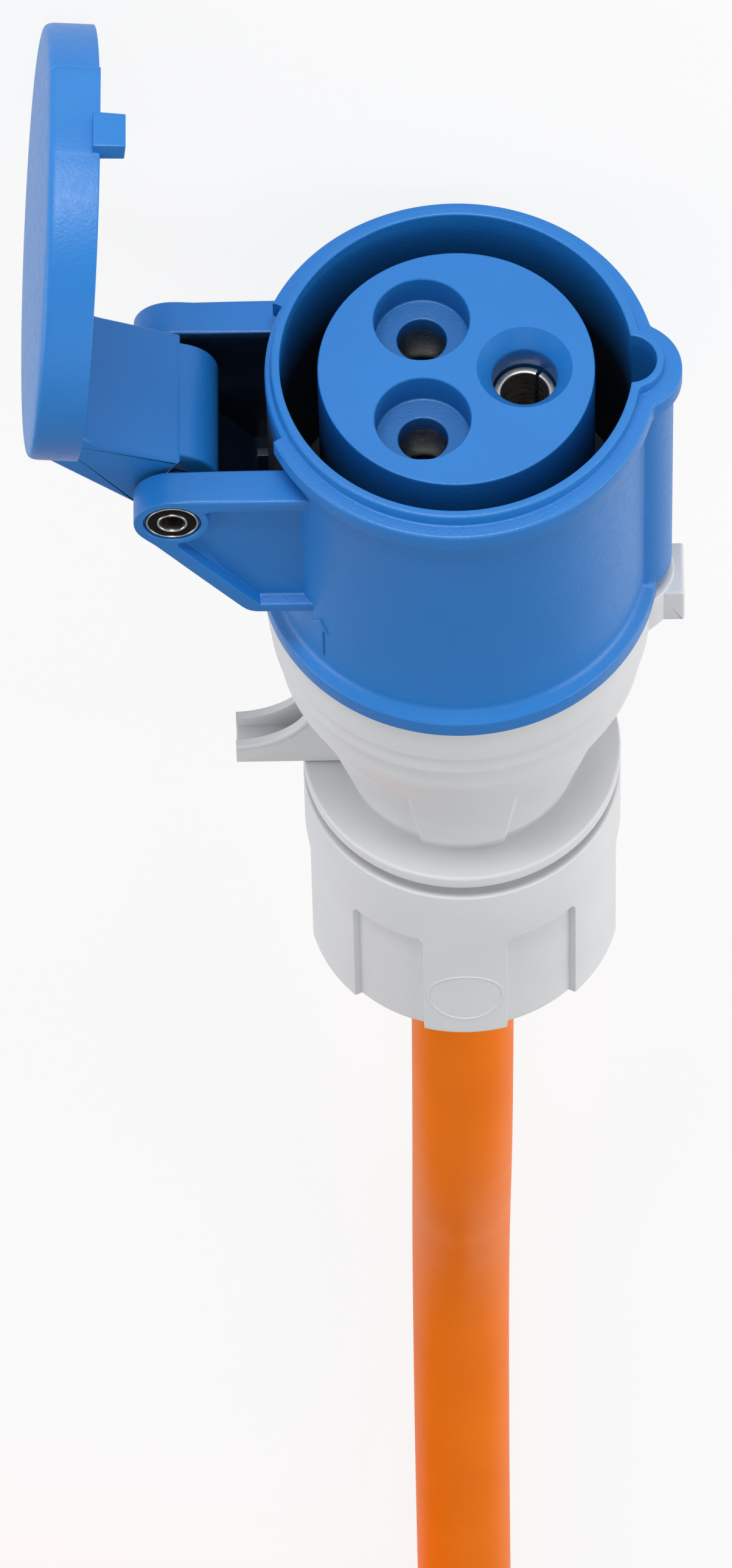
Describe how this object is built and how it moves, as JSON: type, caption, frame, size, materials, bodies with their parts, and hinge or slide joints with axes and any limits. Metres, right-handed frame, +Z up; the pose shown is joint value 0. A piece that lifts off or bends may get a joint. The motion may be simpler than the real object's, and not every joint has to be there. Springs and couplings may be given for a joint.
{
  "type": "industrial extension cable",
  "caption": "Industrial extension lead: hinged-lid coupler with round contact insert, thick orange cable wound in a tied coil, and matching pin plug.",
  "frame": {"origin": "on the floor, under the middle of the coupler's box with its lid open as pictured", "axes": "+Z up; -Y out of the coupler's mouth, +Y along its cable; +X towards its lid"},
  "size_m": [0.2175, 0.6279, 0.0587],
  "materials": {
    "blue_nylon": "satin moulded",
    "grey_nylon": "satin moulded",
    "orange_sheath": "matte extruded",
    "black_rubber": "matte",
    "zinc_steel": "bright zinc plate",
    "nickel_brass": "nickel plated",
    "green_core": "smooth",
    "brown_core": "smooth",
    "blue_core": "smooth"
  },
  "bodies": {
    "housing": {"cable_coil": "orange_sheath", "cable_run": "orange_sheath", "cable_tail": "orange_sheath", "carrier_retainer": "grey_nylon", "clamp_collet": "grey_nylon", "coil_tie_a": "black_rubber", "coil_tie_b": "black_rubber", "contact_carrier": "blue_nylon", "earth_core": "green_core", "earth_pin": "nickel_brass", "earth_screw": "zinc_steel", "earth_sleeve": "nickel_brass", "front_housing": "blue_nylon", "gland_seal": "black_rubber", "housing_seal": "black_rubber", "lid_pin": "zinc_steel", "lid_spring": "zinc_steel", "line_core": "brown_core", "line_pin": "nickel_brass", "line_screw": "zinc_steel", "line_sleeve": "nickel_brass", "neutral_core": "blue_core", "neutral_pin": "nickel_brass", "neutral_screw": "zinc_steel", "neutral_sleeve": "nickel_brass", "pin_carrier": "blue_nylon", "plug_clamp_collet": "grey_nylon", "plug_earth_core": "green_core", "plug_earth_screw": "zinc_steel", "plug_gland_seal": "black_rubber", "plug_housing_seal": "black_rubber", "plug_line_core": "brown_core", "plug_line_screw": "zinc_steel", "plug_neutral_core": "blue_core", "plug_neutral_screw": "zinc_steel", "plug_rear_housing": "grey_nylon", "plug_retainer": "grey_nylon", "plug_sleeve": "blue_nylon", "rear_housing": "grey_nylon"},
    "lid": {"lid": "blue_nylon", "lid_gasket": "black_rubber"},
    "thrust_ring": {"thrust_ring": "zinc_steel"},
    "gland_nut": {"gland_nut": "grey_nylon"},
    "plug_thrust_ring": {"plug_thrust_ring": "zinc_steel"},
    "plug_gland_nut": {"plug_gland_nut": "grey_nylon"}
  },
  "joints": [
    {"name": "lid_hinge", "type": "hinge", "parent": "housing", "child": "lid", "pos_m": [0.02345, -0.02315, 0.0277], "axis": [0, 0, 1], "range_deg": [-84.3, 20]},
    {"name": "nut_travel", "type": "slide", "parent": "housing", "child": "thrust_ring", "axis": [0, 1, 0], "range_m": [0, 0.009]},
    {"name": "nut_turn", "type": "hinge", "parent": "thrust_ring", "child": "gland_nut", "pos_m": [-0.01345, 0.0795, 0.0277], "axis": [0, 1, 0], "range_deg": [0, 1080]},
    {"name": "plug_nut_travel", "type": "slide", "parent": "housing", "child": "plug_thrust_ring", "axis": [0, 1, 0], "range_m": [0, 0.009]},
    {"name": "plug_nut_turn", "type": "hinge", "parent": "plug_thrust_ring", "child": "plug_gland_nut", "pos_m": [0.14075, 0.2515, 0.0262], "axis": [0, 1, 0], "range_deg": [0, 1080]}
  ],
  "couplings": [
    {"joint": "nut_travel", "follows": "nut_turn", "m_per_rad": 0.00047745},
    {"joint": "plug_nut_travel", "follows": "plug_nut_turn", "m_per_rad": 0.00047745}
  ]
}
